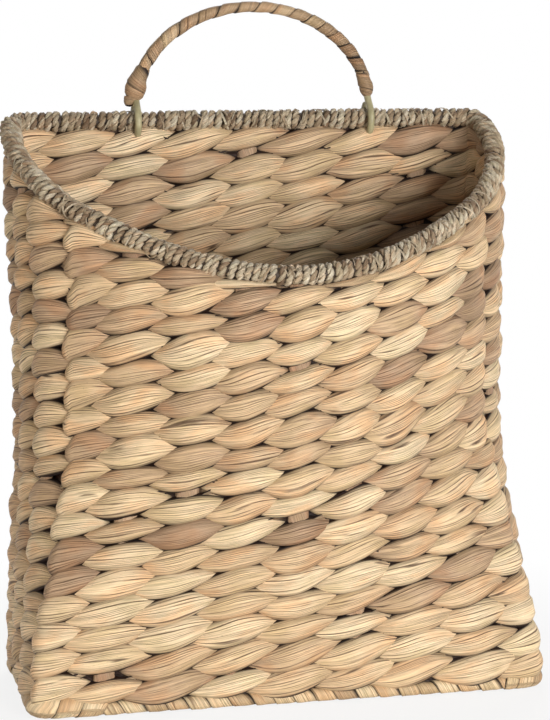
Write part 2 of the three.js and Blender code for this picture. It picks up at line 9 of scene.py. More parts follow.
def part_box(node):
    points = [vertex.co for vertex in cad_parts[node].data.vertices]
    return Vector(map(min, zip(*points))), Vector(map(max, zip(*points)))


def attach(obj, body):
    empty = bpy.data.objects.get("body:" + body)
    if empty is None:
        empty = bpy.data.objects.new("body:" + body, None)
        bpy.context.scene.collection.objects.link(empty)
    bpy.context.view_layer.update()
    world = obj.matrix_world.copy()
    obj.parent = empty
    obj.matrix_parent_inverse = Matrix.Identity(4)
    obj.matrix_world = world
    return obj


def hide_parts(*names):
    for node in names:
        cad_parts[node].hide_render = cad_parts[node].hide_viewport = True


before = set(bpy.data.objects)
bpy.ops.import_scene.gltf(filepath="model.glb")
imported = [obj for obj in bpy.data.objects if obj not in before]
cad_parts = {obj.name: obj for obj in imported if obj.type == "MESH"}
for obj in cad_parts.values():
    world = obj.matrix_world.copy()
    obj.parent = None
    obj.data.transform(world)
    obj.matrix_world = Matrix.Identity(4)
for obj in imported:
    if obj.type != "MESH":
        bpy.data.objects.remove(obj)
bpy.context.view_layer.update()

# Sizes in millimetres, as in the solids
BASE_WIDTH = 312.0
BASE_DEPTH = 125.0
WAIST_WIDTH = 289.0
RIM_WIDTH = 301.0
FRONT_POST_SPAN = 249.0
FRONT_POST_DEPTH = 93.0
FRONT_BOW = 53.0
SIDE_BOW = 13.0
RIM_HEIGHT = 349.5
RIM_DIP = 87.0
RIM_DIP_POWER = 1.22
FLARE_HEIGHT = 186.0
SPREAD_HEIGHT = 150.0
FRONT_SAG = 9.0
WIRE_RADIUS = 2.25
RIM_RADIUS = 6.3
BASE_RADIUS = 4.3
FOOT = 8.2
HEAD = 344.5
FLOOR_HEIGHT = 10.6
HANDLE_HALF = 75.7
HANDLE_OFFSET = 4.0
HANDLE_SPRING = 10.5
HANDLE_RISE = 61.0
EYE_RADIUS = 9.76
COURSES = 21
FLOOR_COURSES = 7

# Stitches are numbered from the back left post round by the front
FRONT_START = 4
RIGHT_START = 12
BACK_START = 16
RING = 24

MM = 0.001
rng = np.random.default_rng(7)
# Place in the frame from which all the sizes here are measured: under the middle of the back rim
rim_lo, rim_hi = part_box("rim_binding_back")
ORIGIN = np.array([(rim_lo.x + rim_hi.x) / 2, (rim_lo.y + rim_hi.y) / 2, 0.0])


# Mesh helpers

def make_object(name, verts, faces, attributes, material, body, nodes):
    """Object from points in millimetres, with point attributes, riding on a CAD body."""
    mesh = bpy.data.meshes.new(name)
    mesh.from_pydata((verts * MM + ORIGIN).tolist(), [], faces)
    for key, values in attributes.items():
        single = values.ndim == 1
        layer = mesh.attributes.new(key, "FLOAT" if single else "FLOAT_VECTOR", "POINT")
        layer.data.foreach_set("value" if single else "vector", values.astype(np.float32).ravel())
    mesh.polygons.foreach_set("use_smooth", [True] * len(mesh.polygons))
    mesh.update()
    obj = bpy.data.objects.new(name, mesh)
    bpy.context.scene.collection.objects.link(obj)
    mesh.materials.append(material)
    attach(obj, body)
    if nodes:
        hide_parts(*nodes)


class Builder:
    """Gathers tubes of one object: points, faces and the attributes that the materials read."""

    def __init__(self):
        self.verts = []
        self.faces = []
        self.attributes = {"grain": [], "tone": [], "painted_shade": [], "edge": []}
        self.count = 0

    def tube(self, rings, grain, tone, closed=False, painted_shade=0.0, edge=0.0):
        """rings and grain are (stations, sides, 3); tone, painted shade and edge are (stations, sides)."""
        stations, sides, _ = rings.shape
        base = self.count
        self.count += stations * sides
        self.verts.append(rings.reshape(-1, 3))
        self.attributes["grain"].append(np.broadcast_to(grain, rings.shape).reshape(-1, 3))
        for key, values in (("tone", tone), ("painted_shade", painted_shade), ("edge", edge)):
            self.attributes[key].append(np.broadcast_to(values, rings.shape[:2]).reshape(-1))
        last = stations if closed else stations - 1
        i = np.arange(last)[:, None]
        j = np.arange(sides)[None, :]
        here = base + i * sides
        following = base + (i + 1) % stations * sides
        beside = (j + 1) % sides
        quads = np.stack([here + j, here + beside, following + beside, following + j], axis=-1)
        self.faces.extend(quads.reshape(-1, 4).tolist())
        if not closed:
            self.faces.append(list(range(base + sides - 1, base - 1, -1)))
            end = base + (stations - 1) * sides
            self.faces.append(list(range(end, end + sides)))

    def finish(self, name, material, body, nodes, slot):
        attributes = {key: np.concatenate(values) for key, values in self.attributes.items()}
        make_object(name, np.concatenate(self.verts), self.faces, attributes, material, body, nodes)


def unit(v):
    return v / np.linalg.norm(v, axis=-1, keepdims=True)


def smooth(t):
    t = np.clip(t, 0.0, 1.0)
    return t * t * (3 - 2 * t)


def mix(a, b, t):
    return a + (b - a) * t


def circle(sides):
    return np.linspace(0, 2 * math.pi, sides, endpoint=False)


def wander(count, step, amount):
    """Smooth random values, free to change once in each step."""
    knots = rng.normal(0, amount, (count + 1) // step + 4)
    x = np.arange(count) / step
    i = x.astype(int)
    return mix(knots[i], knots[i + 1], smooth(x - i))


def tangents(path, closed=False):
    """Direction of travel at each point of a path."""
    if closed:
        ahead = np.roll(path, -1, 0)
        behind = np.roll(path, 1, 0)
    else:
        ahead = np.vstack([path[1:], 2 * path[-1:] - path[-2:-1]])
        behind = np.vstack([2 * path[:1] - path[1:2], path[:-1]])
    return unit(ahead - behind)


def cross_directions(path, first, closed=False):
    """Two directions across a path at each of its points, carried along with the least turning."""
    tangent = tangents(path, closed)
    one = np.zeros_like(path)
    carry = np.asarray(first, float)
    for i, t in enumerate(tangent):
        carry = unit(carry - t * carry.dot(t))
        one[i] = carry
    return one, np.cross(tangent, one)


def rings_round(path, one, two, along_one, along_two):
    """Rings of points round a path, from their distances along its two cross directions."""
    by_one = one[:, None, :] * along_one[..., None]
    by_two = two[:, None, :] * along_two[..., None]
    return path[:, None, :] + by_one + by_two


def distances(points):
    """Distance travelled at each point of a path."""
    return np.concatenate([[0], np.cumsum(np.linalg.norm(np.diff(points, axis=0), axis=1))])


def resample(path, count, closed=False):
    """Points at equal distances along a path, and its length."""
    points = np.vstack([path, path[:1]]) if closed else path
    run = distances(points)
    at = np.linspace(0, run[-1], count, endpoint=not closed)
    return np.stack([np.interp(at, run, points[:, k]) for k in range(3)], axis=1), run[-1]


# The wall's shape. A place on it is a stitch number and a height.

# How far the corners are rounded, in stitches, on each face of the wall and on the rim
OUTER_ROUND = 0.065
INNER_ROUND = 0.15
RIM_ROUND = 0.16
# Places that are averaged to round a corner, with their weights
ROUNDING = ((-2, 1 / 9), (-1, 2 / 9), (0, 3 / 9), (1, 2 / 9), (2, 1 / 9))
# Steps to either side for measuring a slope, in stitches and in millimetres
NEAR_STITCH = 0.12
NEAR_RIM = 0.2
NEAR_HEIGHT = 2.0
# How far the leaves reach in under the rim's cord
UNDER_RIM = 1.5


def raw_wall(stitch, z):
    """Wall's middle surface with sharp corners."""
    s = np.mod(stitch, RING)
    flare = smooth(z / FLARE_HEIGHT)
    spread = smooth(1 - (RIM_HEIGHT - z) / SPREAD_HEIGHT)
    back_half = mix(BASE_WIDTH, mix(WAIST_WIDTH, RIM_WIDTH, spread), flare) / 2
    front_half = mix(BASE_WIDTH, FRONT_POST_SPAN, flare) / 2
    front_y = -mix(BASE_DEPTH, FRONT_POST_DEPTH, flare)
    zero = np.zeros_like(front_y)
    back_left = (-back_half, zero)
    front_left = (-front_half, front_y)
    front_right = (front_half, front_y)
    back_right = (back_half, zero)
    sides = (
        (back_left, front_left, 0, FRONT_START, SIDE_BOW * flare),
        (front_left, front_right, FRONT_START, RIGHT_START, FRONT_BOW * flare),
        (front_right, back_right, RIGHT_START, BACK_START, SIDE_BOW * flare),
        (back_right, back_left, BACK_START, RING, zero),
    )
    x = zero.copy()
    y = zero.copy()
    for start, end, first, last, bow in sides:
        t = (s - first) / (last - first)
        dx = end[0] - start[0]
        dy = end[1] - start[1]
        lift = 4 * bow * t * (1 - t) / np.hypot(dx, dy)
        inside = (t >= 0) & (t < 1)
        x = np.where(inside, start[0] + dx * t + dy * lift, x)
        y = np.where(inside, start[1] + dy * t - dx * lift, y)
    return np.stack([x, y, z], axis=-1)


def wall(stitch, z, round_by=OUTER_ROUND):
    """Wall's middle surface, with its corners rounded."""
    stitch, z = np.broadcast_arrays(np.asarray(stitch, float), np.asarray(z, float))
    return sum(weight * raw_wall(stitch + k * round_by, z) for k, weight in ROUNDING)


def wall_frame(stitch, z, round_by):
    """Point, outward normal and upward direction of the wall."""
    along = wall(stitch + NEAR_STITCH, z, round_by) - wall(stitch - NEAR_STITCH, z, round_by)
    upward = unit(wall(stitch, z + NEAR_HEIGHT, round_by) - wall(stitch, z - NEAR_HEIGHT, round_by))
    return wall(stitch, z, round_by), unit(np.cross(along, upward)), upward


def rim_height(stitch):
    depth = np.maximum(-raw_wall(stitch, np.full(np.shape(stitch), RIM_HEIGHT))[..., 1], 0)
    return RIM_HEIGHT - RIM_DIP * (depth / (FRONT_POST_DEPTH + FRONT_BOW)) ** RIM_DIP_POWER


def rim_line(stitch):
    """Middle of the rim's wire."""
    places = ((stitch + RIM_ROUND * k, weight) for k, weight in ROUNDING)
    return sum(weight * raw_wall(s, rim_height(s)) for s, weight in places)


def course_line(course, stitch):
    """Height of the line between two courses, lower at the front than at the back."""
    level = FOOT + course * (HEAD - FOOT) / COURSES
    turn = np.minimum(np.mod(stitch, RING) / BACK_START, 1)
    return level - FRONT_SAG * smooth(level / RIM_HEIGHT) * np.sin(np.pi * turn) ** 2


def wall_top(stitch):
    """Height at which the leaves disappear under the rim's cord."""
    step = rim_line(stitch + NEAR_RIM) - rim_line(stitch - NEAR_RIM)
    slope = step[..., 2] / np.hypot(step[..., 0], step[..., 1])
    return rim_line(stitch)[..., 2] - (RIM_RADIUS - UNDER_RIM) * np.hypot(1, slope)


# Materials

def srgb(r, g, b):
    def linear(c):
        c = c / 255
        return c / 12.92 if c <= 0.04045 else ((c + 0.055) / 1.055) ** 2.4
    return (linear(r), linear(g), linear(b), 1.0)


def grey(v):
    return (v, v, v, 1.0)


class Nodes:
    """Short names for building a node material."""

    def __init__(self, name, roughness, specular):
        self.material = bpy.data.materials.new(name)
        self.material.use_nodes = True
        self.tree = self.material.node_tree
        self.shader = self.tree.nodes["Principled BSDF"]
        self.shader.inputs["Roughness"].default_value = roughness
        self.shader.inputs["Specular IOR Level"].default_value = specular

    def put(self, socket, value):
        if isinstance(value, bpy.types.NodeSocket):
            self.tree.links.new(value, socket)
        else:
            socket.default_value = value

    def attribute(self, name, output="Fac"):
        node = self.tree.nodes.new("ShaderNodeAttribute")
        node.attribute_name = name
        return node.outputs[output]

    def math(self, operation, a, b=0.0, c=0.0):
        node = self.tree.nodes.new("ShaderNodeMath")
        node.operation = operation
        for socket, value in zip(node.inputs, (a, b, c)):
            self.put(socket, value)
        return node.outputs[0]

    def scaled(self, vector, factors):
        node = self.tree.nodes.new("ShaderNodeVectorMath")
        node.operation = "MULTIPLY"
        self.put(node.inputs[0], vector)
        node.inputs[1].default_value = factors
        return node.outputs[0]

    def across(self, vector):
        node = self.tree.nodes.new("ShaderNodeSeparateXYZ")
        self.put(node.inputs[0], vector)
        return node.outputs["Y"]

    def noise(self, vector, scale, detail, roughness=0.55):
        node = self.tree.nodes.new("ShaderNodeTexNoise")
        self.put(node.inputs["Vector"], vector)
        node.inputs["Scale"].default_value = scale
        node.inputs["Detail"].default_value = detail
        node.inputs["Roughness"].default_value = roughness
        return node.outputs["Fac"]

    def ramp(self, factor, stops):
        node = self.tree.nodes.new("ShaderNodeValToRGB")
        elements = node.color_ramp.elements
        while len(elements) < len(stops):
            elements.new(0.5)
        for element, (place, colour) in zip(elements, stops):
            element.position = place
            element.color = colour
        self.put(node.inputs[0], factor)
        return node.outputs[0]

    def grey_ramp(self, factor, stops):
        return self.ramp(factor, [(place, grey(value)) for place, value in stops])

    def blend(self, mode, factor, a, b):
        node = self.tree.nodes.new("ShaderNodeMix")
        node.data_type = "RGBA"
        node.blend_type = mode
        self.put(node.inputs[0], factor)
        self.put(node.inputs[6], a)
        self.put(node.inputs[7], b)
        return node.outputs[2]

    def bump(self, height, strength, distance):
        node = self.tree.nodes.new("ShaderNodeBump")
        node.inputs["Strength"].default_value = strength
        node.inputs["Distance"].default_value = distance
        self.put(node.inputs["Height"], height)
        self.tree.links.new(node.outputs[0], self.shader.inputs["Normal"])

    def colour(self, value):
        self.put(self.shader.inputs["Base Color"], value)

    def rough(self, value):
        self.put(self.shader.inputs["Roughness"], value)


# Tints of the fibre's worn patches, the painted shade colour of crevices and hidden places, and its dark
# lines' number and wavering
FIBRE_TINTS = [(0.34, srgb(254, 238, 226)), (0.5, srgb(255, 255, 255)), (0.68, srgb(240, 240, 230))]
SHADE_COLOUR = srgb(52, 32, 20)
LINES_ACROSS = 6.2
LINE_WOBBLE = 6.5


def fibre_material(name, tones, line_colour, fine=1.0, line_strength=0.75, depth=0.0005):
    """Dry plant fibre: tone of its own for each strand, long fine grooves, specks, worn patches, painted
    shade.
    The grain attribute holds the distance along in metres, the place across and a number of its own."""
    n = Nodes(name, 0.62, 0.32)
    grain = n.attribute("grain", "Vector")
    base = n.ramp(n.attribute("tone"), tones)
    streak = n.noise(n.scaled(grain, (24.0, 5.0 * fine, 31.0)), 1.0, 4.0, 0.6)
    hair = n.noise(n.scaled(grain, (45.0, 13.0 * fine, 57.0)), 1.0, 2.0, 0.65)
    wobble = n.noise(n.scaled(grain, (9.0, 1.3 * fine, 13.0)), 1.0, 1.0, 0.5)
    patch = n.noise(n.scaled(grain, (40.0, 0.8, 9.0)), 1.0, 2.0, 0.5)
    speck = n.noise(n.scaled(grain, (520.0, 22.0, 19.0)), 1.0, 2.0, 0.6)
    # Wavering dark lines along the strand, which come and go with the streaks
    evenly = n.math("MULTIPLY", n.across(grain), LINES_ACROSS * fine)
    order = n.math("MULTIPLY_ADD", wobble, LINE_WOBBLE, evenly)
    ridge = n.math("PINGPONG", order, 0.5)
    lines = n.math("MULTIPLY", n.grey_ramp(ridge, [(0.0, 1), (0.07, 0.8), (0.14, 0)]),
                   n.grey_ramp(streak, [(0.40, 0.10), (0.57, 1)]))
    # Tone of the strand with its lighter and darker fibres, patches, lines and specks
    light = n.grey_ramp(streak, [(0.25, 0.88), (0.5, 0.99), (0.78, 1.04)])
    fine_light = n.grey_ramp(hair, [(0.3, 0.58), (0.7, 1.19)])
    colour = n.blend("MULTIPLY", 1.0, base, light)
    colour = n.blend("MULTIPLY", 0.9, colour, fine_light)
    colour = n.blend("MULTIPLY", 0.9, colour, n.ramp(patch, FIBRE_TINTS))
    colour = n.blend("MIX", n.math("MULTIPLY", lines, line_strength), colour, line_colour)
    spots = n.grey_ramp(speck, [(0.68, 0), (0.73, 1)])
    colour = n.blend("MIX", n.math("MULTIPLY", spots, 0.55), colour, line_colour)
    # Painted shade: darker towards the strand's edges, and darkest at them and where it lies hidden or in a
    # crevice
    edge = n.math("ABSOLUTE", n.attribute("edge"))
    colour = n.blend("MULTIPLY", 1.0, colour, n.grey_ramp(edge, [(0.45, 1), (0.80, 0.60)]))
    dark = n.math("MAXIMUM", n.attribute("painted_shade"), n.grey_ramp(edge, [(0.77, 0), (0.85, 1)]))
    colour = n.blend("MULTIPLY", dark, colour, SHADE_COLOUR)
    n.colour(colour)
    n.rough(n.math("MULTIPLY_ADD", streak, 0.3, 0.42))
    height = n.math("MULTIPLY_ADD", streak, 0.4, n.math("MULTIPLY", hair, 0.45))
    n.bump(n.math("SUBTRACT", height, n.math("MULTIPLY", lines, 0.7)), 0.9, depth)
    return n.material


WIRE_PAINT = [(0.3, srgb(146, 138, 104)), (0.55, srgb(170, 161, 124)), (0.75, srgb(188, 180, 144))]
WORN_PAINT = srgb(92, 84, 60)


def wire_material():
    """Dull khaki paint with small worn flecks."""
    n = Nodes("painted_wire", 0.45, 0.45)
    where = n.tree.nodes.new("ShaderNodeTexCoord").outputs["Object"]
    mottled = n.noise(where, 160.0, 4.0)
    worn = n.grey_ramp(n.noise(where, 900.0, 2.0), [(0.66, 0), (0.74, 1)])
    n.colour(n.blend("MIX", n.math("MULTIPLY", worn, 0.35), n.ramp(mottled, WIRE_PAINT), WORN_PAINT))
    n.rough(n.math("MULTIPLY_ADD", mottled, 0.3, 0.3))
    n.bump(mottled, 0.25, 0.0002)
    return n.material


LEAF_TONES = [
    (0.0, srgb(172, 142, 113)), (0.25, srgb(197, 165, 132)), (0.5, srgb(218, 186, 147)),
    (0.75, srgb(232, 201, 160)), (1.0, srgb(243, 217, 178)),
]
STAKE_TONES = [(0.0, srgb(164, 132, 104)), (1.0, srgb(206, 174, 142))]
GRASS_TONES = [
    (0.0, srgb(130, 106, 82)), (0.3, srgb(172, 148, 120)),
    (0.6, srgb(204, 184, 154)), (1.0, srgb(234, 220, 194)),
]
STRIP_TONES = [
    (0.0, srgb(142, 112, 84)), (0.4, srgb(168, 138, 106)),
    (0.7, srgb(186, 156, 122)), (1.0, srgb(202, 174, 138)),
]
EDGE_TONES = [(0.0, srgb(186, 156, 120)), (0.5, srgb(216, 188, 148)), (1.0, srgb(234, 212, 174))]

leaf = fibre_material("dry_leaf", LEAF_TONES, srgb(84, 62, 46), line_strength=0.95, depth=0.0009)
stake_fibre = fibre_material("stake_fibre", STAKE_TONES, srgb(84, 62, 46), fine=1.4)
grass = fibre_material("grass_cord", GRASS_TONES, srgb(62, 46, 32),
                       fine=0.8, line_strength=0.7, depth=0.0006)
strip_leaf = fibre_material("strip_leaf", STRIP_TONES, srgb(80, 56, 38), fine=1.2, line_strength=0.8)
edge_leaf = fibre_material("edge_leaf", EDGE_TONES, srgb(112, 84, 56), fine=0.8)
wire = wire_material()


# Twined courses

# A leaf's points along and across, and how far it reaches in the twining's turn
STATIONS = 25
ACROSS = 13
LEAF_REACH = math.radians(152)
# Usual distance between stakes, for the grain along the leaf
STITCH_LENGTH = 37.0
# The leaf's shape in millimetres, and how blunt its points are
LEAF_HALF = 10.5
LEAF_THICK = 2.7
LEAF_CURL = 4.2
LEAF_RISE = 4.2
LEAF_FOLD = 0.35
LEAF_POINT = 0.86
# How far it stands out from the wall's middle: at its ends, more in its middle, and more for a large leaf
LEAF_OUT = 1.3
LEAF_SWELL = 3.3
SIZE_OUT = 4.0
# Share of the twining's turn that its bulge and its rise go through
BULGE_TURN = 0.92
RISE_TURN = 0.72
# Corners: share of that which a leaf loses there, how wide they are in stitches, and their leaves' size
HUG_OUTSIDE = 0.55
HUG_INSIDE = 0.22
CORNER_WIDTH = 0.3
CORNER_SIZE = 1.10
CORNERS = (0, FRONT_START, RIGHT_START, BACK_START, RING)
# At and next to the front corners, a factor on how far a leaf reaches one way; the sign tells which way
TOWARDS_SIDE = {3: 1.45, 4: -0.45, 12: 0.45, 13: -1.45}
# Distance that leaves keep from the middle of the wire of the handle's eyes
EYE_ROOM = WIRE_RADIUS + 0.75
# Usual tone of the lowest leaves; painted light that leaves the higher ones darker; spread in tone and size
SHADE_LOW = 0.68
PAINTED_LIGHT_FALL = 0.14
SHADE_SPREAD = 0.17
LEAF_SPREAD = 0.19
SIZE_SPREAD = 0.07
# A course that the rim cuts off lower than this has no leaf
LEAST_HEIGHT = 4.0

# Unevenness of the rows, and the places where two rows part and show a stake
ROW_WANDER = rng.normal(0, 1.15, (COURSES + 1, RING))
ROW_WANDER[0] = 0.0
PARTED_INSIDE = 0.03
PARTED_OUTSIDE = 0.08
PARTED = rng.random((2, COURSES + 1, RING)) < np.array([PARTED_INSIDE, PARTED_OUTSIDE])[:, None, None]
PARTED[:, 1:] &= ~PARTED[:, :-1]
PARTED[:, [0, COURSES]] = False
PARTED_SLIM = 0.14
PARTED_SHIFT = 1.3


def leaf_section():
    """Places round a leaf's section: across from -1 to 1, and which face."""
    a = np.sin(np.linspace(-math.pi / 2, math.pi / 2, ACROSS))
    across = np.concatenate([a, a[-2:0:-1]])
    face = np.concatenate([np.ones(ACROSS), -np.ones(ACROSS - 2)])
    return across, face


def clear_of_eyes(points):
    """Points moved out of the rings that the handle's two eyes take up round the rim."""
    for centre in (HANDLE_OFFSET - HANDLE_HALF, HANDLE_OFFSET + HANDLE_HALF):
        beside = points[..., 0] - centre
        y = points[..., 1]
        z = points[..., 2] - RIM_HEIGHT
        reach = np.hypot(y, z)
        beyond = reach - EYE_RADIUS
        away = np.maximum(np.hypot(beside, beyond), 1e-6)
        grow = np.maximum(EYE_ROOM / away, 1.0)
        wider = (EYE_RADIUS + beyond * grow) / np.maximum(reach, 1e-6)
        moved = np.stack([centre + beside * grow, y * wider, RIM_HEIGHT + z * wider], axis=-1)
        points = np.where((away < EYE_ROOM)[..., None], moved, points)
    return points


def leaf_pad(builder, frame_at, side, length, shade, size):
    """What one strand shows as it passes a stake on one side of the wall: a long pointed leaf, plump in
    the middle, that rises along its length and dives into the wall at both ends. frame_at gives points,
    normals, upward directions, scales and nearness to a corner for distances from the stake in stitches."""
    across, face = leaf_section()
    a = across[None, :]
    angle = LEAF_REACH * np.linspace(-1, 1, STATIONS)
    point, normal, upward, scale, corner = frame_at(angle / math.pi)
    lens = np.cos(math.pi / 2 * angle / (LEAF_REACH * 1.01)) ** LEAF_POINT
    lean = 1 + rng.normal(0, 0.14)
    half = LEAF_HALF * size * lens * scale
    thick = LEAF_THICK * (1 + rng.normal(0, 0.12)) * np.sqrt(lens * scale)
    curl = LEAF_CURL * lens * scale
    # Middle line of the leaf
    hug = HUG_OUTSIDE if side > 0 else HUG_INSIDE
    stand = LEAF_SWELL * np.cos(BULGE_TURN * angle) + LEAF_OUT + SIZE_OUT * (size - 1)
    push = side * stand * (1 - hug * corner)
    rise = side * LEAF_RISE * lean * np.sin(RISE_TURN * angle) * scale + rng.normal(0, 0.35) * scale
    centre = point + normal * push[:, None] + upward * rise[:, None]
    # Section: lens-shaped, with folds along it, curled in at its edges and tilted
    crown = np.sqrt(np.clip(1 - np.abs(across) ** 2.4, 0, 1))[None, :]
    folds = np.sin(rng.uniform(1.4, 3.2) * math.pi * a + rng.uniform(0, 6.28) + 0.8 * angle[:, None])
    tilt = rng.normal(0.5, 0.45)
    lift = (face[None, :] * thick[:, None] * crown + LEAF_FOLD * folds * crown * lens[:, None]
            - curl[:, None] * np.abs(a) ** 3 - side * tilt * a * lens[:, None])
    rings = clear_of_eyes(rings_round(centre, upward, normal, half[:, None] * a * side, side * lift))
    grain = np.zeros(rings.shape)
    grain[..., 0] = (angle / math.pi * length * MM)[:, None]
    grain[..., 1] = a + 2.6 * (face < 0)
    grain[..., 2] = rng.uniform(0, 40)
    fade = rng.normal(0, 0.10) * angle / LEAF_REACH
    # Outside leaves a little darker and inside ones a little lighter: painted light for the basket's inside
    own = np.clip(rng.normal(shade - 0.02 * side, LEAF_SPREAD), 0, 1)
    # Leaf painted lighter in its middle and darker towards its ends, as painted shade where it dives in
    tone = own + (0.10 * np.cos(angle) - 0.02 + fade)[:, None]
    # Painted shade: dark where the strand dives into the wall, and on the face that lies against it
    share = np.abs(angle)[:, None] / LEAF_REACH
    sunk = smooth((share - 0.86) / 0.14)
    behind = 1 - 0.55 * smooth((share - 0.35) / 0.35)
    builder.tube(rings, grain, tone, painted_shade=np.where(face[None, :] > 0, sunk, behind), edge=a)


def course(index):
    """One course of twining: at each stake a leaf on the outside and one on the inside."""
    pitch = (HEAD - FOOT) / COURSES
    # Higher courses painted darker, as painted light for the low flared courses that catch more of the lamp
    shades = rng.normal(SHADE_LOW - PAINTED_LIGHT_FALL * index / COURSES, SHADE_SPREAD, (2, RING // 3))

    def edge(number, stitch):
        drift = np.interp(stitch, np.arange(RING), ROW_WANDER[number], period=RING)
        return course_line(number, stitch) + drift

    def edges(stitch):
        return edge(index, stitch), np.minimum(edge(index + 1, stitch), wall_top(stitch))

    def frame_at(middle, short, round_by, nudge):
        def at(distance):
            stitch = middle + np.where(distance * short > 0, abs(short), 1.0) * distance
            low, top = edges(stitch)
            point, normal, upward = wall_frame(stitch, (low + top) / 2 + nudge, round_by)
            scale = np.clip((top - low) / pitch, 0.18, 1.25)
            away = np.min(np.abs(np.mod(stitch, RING)[:, None] - np.array(CORNERS)[None, :]), axis=1)
            return point, normal, upward, scale, np.exp(-(away / CORNER_WIDTH) ** 2)
        return at

    builder = Builder()
    for stitch in range(RING):
        low, top = edges(np.array([stitch - 0.3, stitch, stitch + 0.3], float))
        if np.max(top - low) < LEAST_HEIGHT:
            continue
        short = TOWARDS_SIDE.get(stitch, 0)
        for side in (1, -1):
            outside = side > 0
            shade = shades[(stitch + outside) % 2, stitch // 3]
            below, above = PARTED[int(outside), index:index + 2, stitch].astype(float)
            if stitch in CORNERS:
                size = CORNER_SIZE
            else:
                size = 1 + rng.normal(0, SIZE_SPREAD) - PARTED_SLIM * (below + above)
            round_by = OUTER_ROUND if outside else INNER_ROUND
            middle = stitch + rng.normal(0, 0.05)
            frame_of = frame_at(middle, short, round_by, PARTED_SHIFT * (below - above))
            leaf_pad(builder, frame_of, side, STITCH_LENGTH, shade, size)
    name = f"course_{index + 1:02d}"
    builder.finish(f"leaf_{name}", leaf, "basket", [name], "leaf")


# Floor: room between its courses and the base wire, and the look of its leaves
FLOOR_EDGE = 5.2
FLOOR_END = 6.0
FLOOR_SHADE = 0.5
FLOOR_SIZE = 1.06
FLOOR_GAUGE = BASE_WIDTH / 8


def floor_course(index):
    """Course of the floor, twined round the stakes where they cross under the basket."""
    pitch = (BASE_DEPTH - 2 * FLOOR_EDGE) / FLOOR_COURSES
    reach = BASE_WIDTH / 2 - FLOOR_END
    y = -FLOOR_EDGE - (index + 0.5) * pitch

    def frame_at(middle):
        def at(distance):
            count = len(distance)
            x = np.clip((middle + distance) * FLOOR_GAUGE, -reach, reach)
            point = np.stack([x, np.full(count, y), np.full(count, FLOOR_HEIGHT)], axis=1)
            down = np.tile([0.0, 0.0, -1.0], (count, 1))
            inward = np.tile([0.0, 1.0, 0.0], (count, 1))
            return point, down, inward, np.ones(count), np.zeros(count)
        return at

    builder = Builder()
    for stake_number in range(-4, 5):
        for side in (1, -1):
            frame_of = frame_at(stake_number + rng.normal(0, 0.03))
            leaf_pad(builder, frame_of, side, FLOOR_GAUGE, FLOOR_SHADE, FLOOR_SIZE)
    name = f"floor_course_{index + 1}"
    builder.finish(f"leaf_{name}", leaf, "basket", [name], "leaf")


# Stakes and wires

STAKE_HALF_WIDTH = 6.6
STAKE_HALF_THICKNESS = 3.1
STAKE_SIDES = 12
STAKE_TWIST = 14.0
# Points of a stake's stretch on each side of the basket and under it
FRONT_POINTS = 60
UPRIGHT_POINTS = 70
UNDER_POINTS = 24
# Size of the bend where a stake turns under the floor, and how far below the rim it stops at the back
STAKE_BEND = 3.0
STAKE_END = 13.0
# Corner posts: stitch of each, points, room below and above, and how far they sit inside the wall's middle
POSTS = {
    "back_left": 0,
    "front_left": FRONT_START,
    "front_right": RIGHT_START,
    "back_right": BACK_START,
}
POST_POINTS = 50
POST_ROOM = 1.0
POST_INSET = 1.2
WIRE_SIDES = 14


def stake(name, path, headings):
    """Upright of loosely twisted fibre, wider along the wall than it is thick."""
    count = len(path)
    tangent = unit(np.gradient(path, axis=0))
    side = unit(headings - tangent * np.sum(headings * tangent, axis=1)[:, None])
    out = np.cross(tangent, side)
    run = distances(path)
    angle = circle(STAKE_SIDES)[None, :]
    twist = run[:, None] / STAKE_TWIST
    lump = 1 + 0.10 * np.cos(4 * angle + 4 * twist) + 0.05 * np.cos(7 * angle - twist)
    rings = rings_round(path, side, out, STAKE_HALF_WIDTH * np.cos(angle) * lump,
                        STAKE_HALF_THICKNESS * np.sin(angle) * lump)
    grain = np.zeros(rings.shape)
    grain[..., 0] = run[:, None] * MM
    grain[..., 1] = angle * 1.3 + twist
    grain[..., 2] = rng.uniform(0, 20)
    tone = np.clip(0.5 + wander(count, 12, 0.25), 0, 1)[:, None]
    builder = Builder()
    builder.tube(rings, grain, tone)
    builder.finish(f"fibre_{name}", stake_fibre, "basket", [name], "stake")


def upright(stitch, low, high, count):
    """Line up the wall at one stitch, and the direction along the wall at its points."""
    z = np.linspace(low, high, count)
    s = np.full(count, float(stitch))
    return wall(s, z), unit(wall(s + 0.1, z) - wall(s - 0.1, z))


def add_stakes():
    bend = FLOOR_HEIGHT + STAKE_BEND
    for i in range(1, 8):
        top = float(wall_top(np.array(float(FRONT_START + i))))
        front, front_along = upright(FRONT_START + i, bend, top, FRONT_POINTS)
        back, back_along = upright(RING - i, bend, RIM_HEIGHT - STAKE_END, UPRIGHT_POINTS)
        y = np.linspace(front[0, 1] + STAKE_BEND, back[0, 1] - STAKE_BEND, UNDER_POINTS)
        x = np.full(UNDER_POINTS, back[0, 0])
        under = np.stack([x, y, np.full(UNDER_POINTS, FLOOR_HEIGHT)], axis=1)
        path = np.vstack([front[::-1], under, back])
        headings = np.vstack([front_along[::-1], np.tile([1.0, 0, 0], (UNDER_POINTS, 1)), -back_along])
        stake(f"floor_stake_{i}", path, headings)
    for i in range(1, 4):
        for side, stitch in (("left", i), ("right", BACK_START - i)):
            top = float(wall_top(np.array(float(stitch))))
            path, headings = upright(stitch, 2 * BASE_RADIUS, top, UPRIGHT_POINTS)
            stake(f"{side}_stake_{i}", path, headings)


def wire_tube(name, path, closed, first, body, nodes):
    one, two = cross_directions(path, first, closed)
    angle = circle(WIRE_SIDES)[None, :]
    rings = rings_round(path, one, two, WIRE_RADIUS * np.cos(angle), WIRE_RADIUS * np.sin(angle))
    builder = Builder()
    builder.tube(rings, np.zeros(3), 0.5, closed)
    builder.finish(name, wire, body, nodes, "painted_wire")


